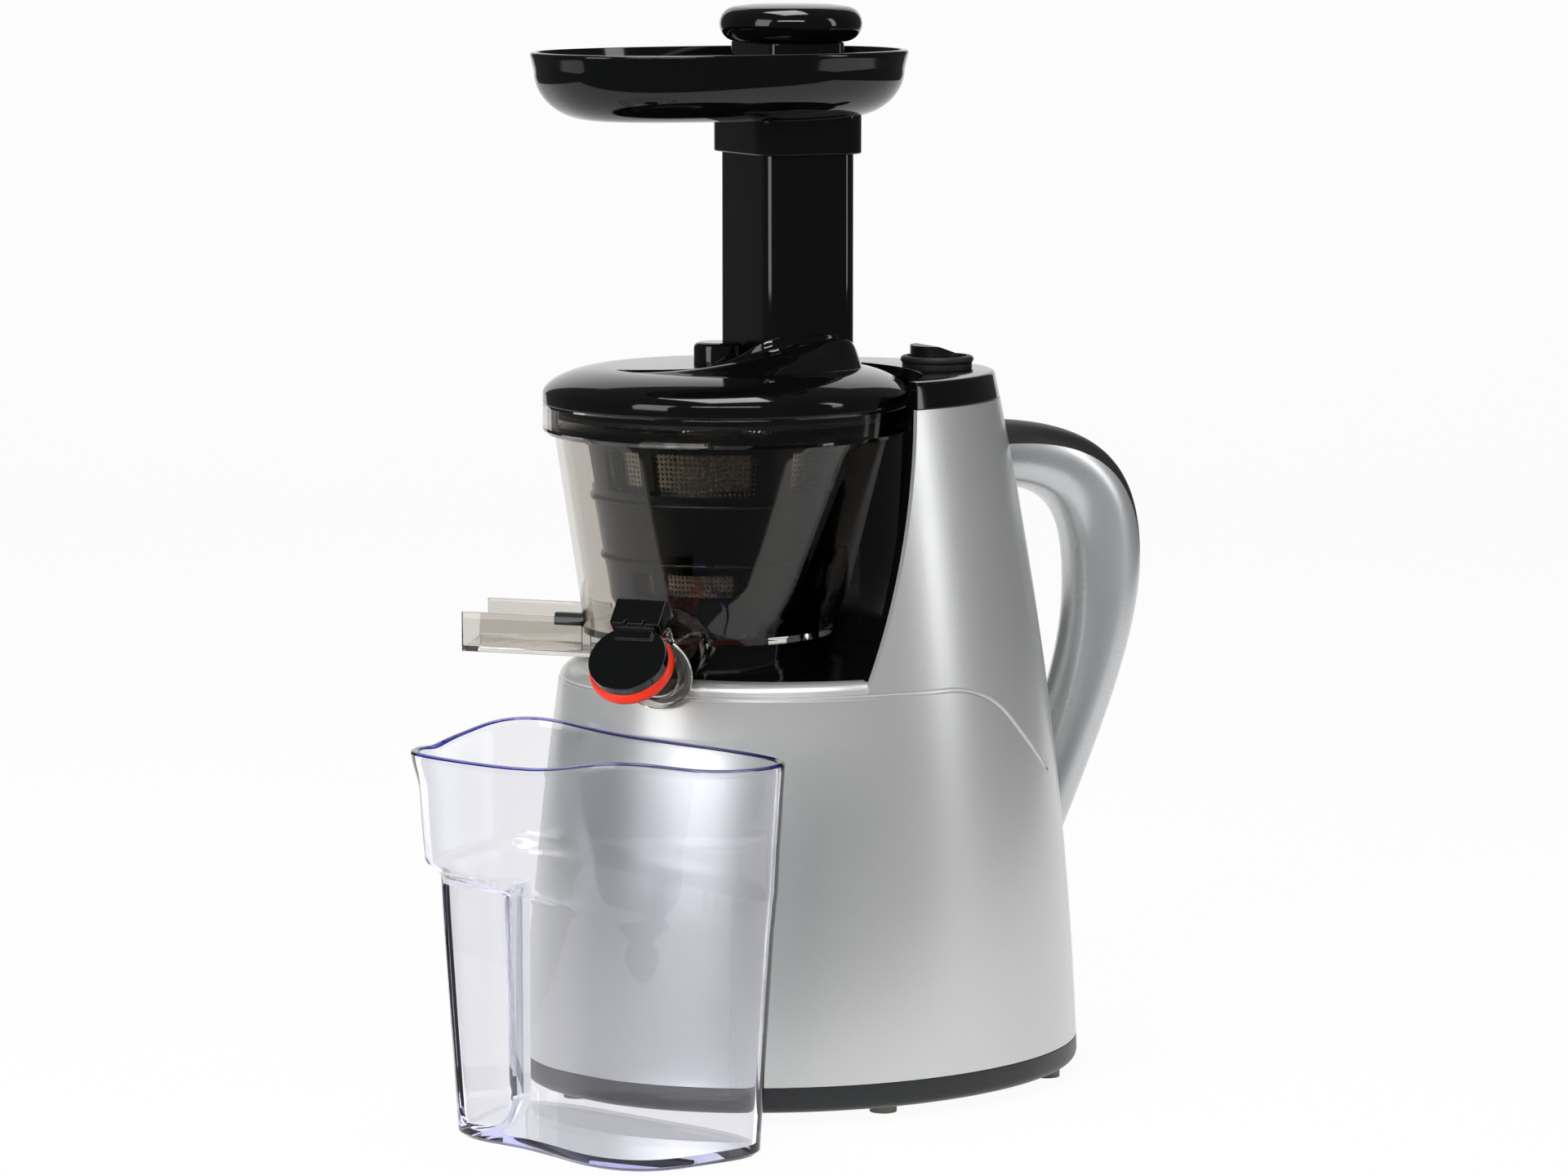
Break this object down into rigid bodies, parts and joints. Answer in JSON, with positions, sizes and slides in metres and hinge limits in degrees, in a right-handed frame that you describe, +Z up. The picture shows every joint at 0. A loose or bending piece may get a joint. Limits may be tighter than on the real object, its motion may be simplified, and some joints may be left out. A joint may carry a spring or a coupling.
{
  "type": "centrifugal juicer",
  "caption": "Upright slow juicer: oval silver body with loop handle, smoky bowl with screw and strainer, juice spout, pulp chute, hopper tray with pusher, and a clear jug.",
  "frame": {"origin": "at the mount stand_point, on the drive axis at table level, below the bowl", "axes": "+Z up along the drive axis, -Y to the front where the outlets are, +Y to the handle, +X to the juice spout side"},
  "size_m": [0.223, 0.3161, 0.404],
  "materials": {
    "base_pan": "dark moulded band",
    "rubber_feet": "soft grey rubber",
    "base_screws": "plated steel",
    "housing_shell": "satin silver paint",
    "rear_cover": "satin silver paint",
    "handle_core": "satin silver",
    "handle_grip": "dark matte grip",
    "cradle_lining": "gloss black",
    "top_cap": "gloss black",
    "switch_boot": "soft black",
    "switch_body": "black",
    "rocker": "gloss black",
    "seat_plate": "gloss black",
    "seat_ring": "gloss black",
    "motor_can": "painted steel can",
    "gearbox_case": "grey moulded case",
    "output_bearing": "sintered bronze",
    "mount_plate": "pressed steel",
    "mount_pillars": "moulded",
    "control_board": "board with parts",
    "cord_gland": "black bush",
    "drive_shaft": "machined steel",
    "bowl_shell": "smoky clear",
    "spout_pipe": "smoky clear",
    "pulp_trough": "smoky clear",
    "shaft_seal": "red silicone",
    "pulp_plug": "black silicone",
    "strainer_frame": "black",
    "strainer_mesh": "perforated steel",
    "brush_frame": "black",
    "brush_wipers": "black silicone",
    "idler_gear": "ivory moulded gear",
    "idler_pin": "turned steel",
    "auger_screw": "hard ivory plastic",
    "auger_gear": "moulded gear",
    "spout_cap": "gloss black",
    "spout_seal": "red silicone",
    "spout_pin": "turned steel",
    "lid_cover": "gloss black",
    "lid_gasket": "black silicone",
    "hopper_tray": "gloss black",
    "pusher_body": "gloss black",
    "pusher_knob": "gloss black",
    "jug_body": "clear, faintly lilac"
  },
  "bodies": {
    "base": {"base_pan": "base_pan", "rubber_feet": "rubber_feet", "base_screws": "base_screws", "housing_shell": "housing_shell", "rear_cover": "rear_cover", "handle_core": "handle_core", "handle_grip": "handle_grip", "cradle_lining": "cradle_lining", "top_cap": "top_cap", "switch_boot": "switch_boot", "switch_body": "switch_body", "seat_plate": "seat_plate", "seat_ring": "seat_ring", "motor_can": "motor_can", "gearbox_case": "gearbox_case", "output_bearing": "output_bearing", "mount_plate": "mount_plate", "mount_pillars": "mount_pillars", "control_board": "control_board", "cord_gland": "cord_gland"},
    "drive": {"drive_shaft": "drive_shaft"},
    "bowl": {"bowl_shell": "bowl_shell", "spout_pipe": "spout_pipe", "pulp_trough": "pulp_trough", "shaft_seal": "shaft_seal", "pulp_plug": "pulp_plug", "strainer_frame": "strainer_frame", "strainer_mesh": "strainer_mesh", "idler_pin": "idler_pin", "spout_pin": "spout_pin"},
    "auger": {"auger_screw": "auger_screw", "auger_gear": "auger_gear"},
    "idler": {"idler_gear": "idler_gear"},
    "brush": {"brush_frame": "brush_frame", "brush_wipers": "brush_wipers"},
    "spout_flap": {"spout_cap": "spout_cap", "spout_seal": "spout_seal"},
    "lid": {"lid_cover": "lid_cover", "lid_gasket": "lid_gasket"},
    "hopper": {"hopper_tray": "hopper_tray"},
    "pusher": {"pusher_body": "pusher_body", "pusher_knob": "pusher_knob"},
    "switch": {"rocker": "rocker"},
    "jug": {"jug_body": "jug_body"}
  },
  "joints": [
    {"name": "drive_spin", "type": "hinge", "parent": "base", "child": "drive", "pos_m": [0, 0, 0.165], "axis": [0, 0, 1], "continuous": true},
    {"name": "bowl_lift", "type": "slide", "parent": "base", "child": "bowl", "axis": [0, 0, 1], "range_m": [0, 0.12]},
    {"name": "auger_spin", "type": "hinge", "parent": "bowl", "child": "auger", "pos_m": [0, 0, 0.2], "axis": [0, 0, 1], "continuous": true},
    {"name": "idler_spin", "type": "hinge", "parent": "bowl", "child": "idler", "pos_m": [0, 0.0221, 0.18], "axis": [0, 0, 1], "continuous": true},
    {"name": "brush_spin", "type": "hinge", "parent": "bowl", "child": "brush", "pos_m": [0, 0, 0.2], "axis": [0, 0, 1], "continuous": true},
    {"name": "spout_flap_hinge", "type": "hinge", "parent": "bowl", "child": "spout_flap", "pos_m": [0.05519, -0.05519, 0.17999], "axis": [0.7071, 0.7071, 0], "range_deg": [-25, 65]},
    {"name": "lid_lift", "type": "slide", "parent": "bowl", "child": "lid", "axis": [0, 0, 1], "range_m": [0, 0.12]},
    {"name": "hopper_lift", "type": "slide", "parent": "lid", "child": "hopper", "axis": [0, 0, 1], "range_m": [0, 0.05]},
    {"name": "pusher_lift", "type": "slide", "parent": "hopper", "child": "pusher", "axis": [0, 0, 1], "range_m": [0, 0.13]},
    {"name": "switch_rock", "type": "hinge", "parent": "base", "child": "switch", "pos_m": [0, 0.091, 0.264], "axis": [1, 0, 0], "range_deg": [-6, 6]},
    {"name": "jug_slide", "type": "slide", "parent": "base", "child": "jug", "axis": [0.7071, -0.7071, 0], "range_m": [0, 0.15]}
  ],
  "couplings": [
    {"joint": "auger_spin", "follows": "drive_spin", "ratio": 1},
    {"joint": "idler_spin", "follows": "drive_spin", "ratio": -1.1667},
    {"joint": "brush_spin", "follows": "drive_spin", "ratio": -0.36842}
  ]
}
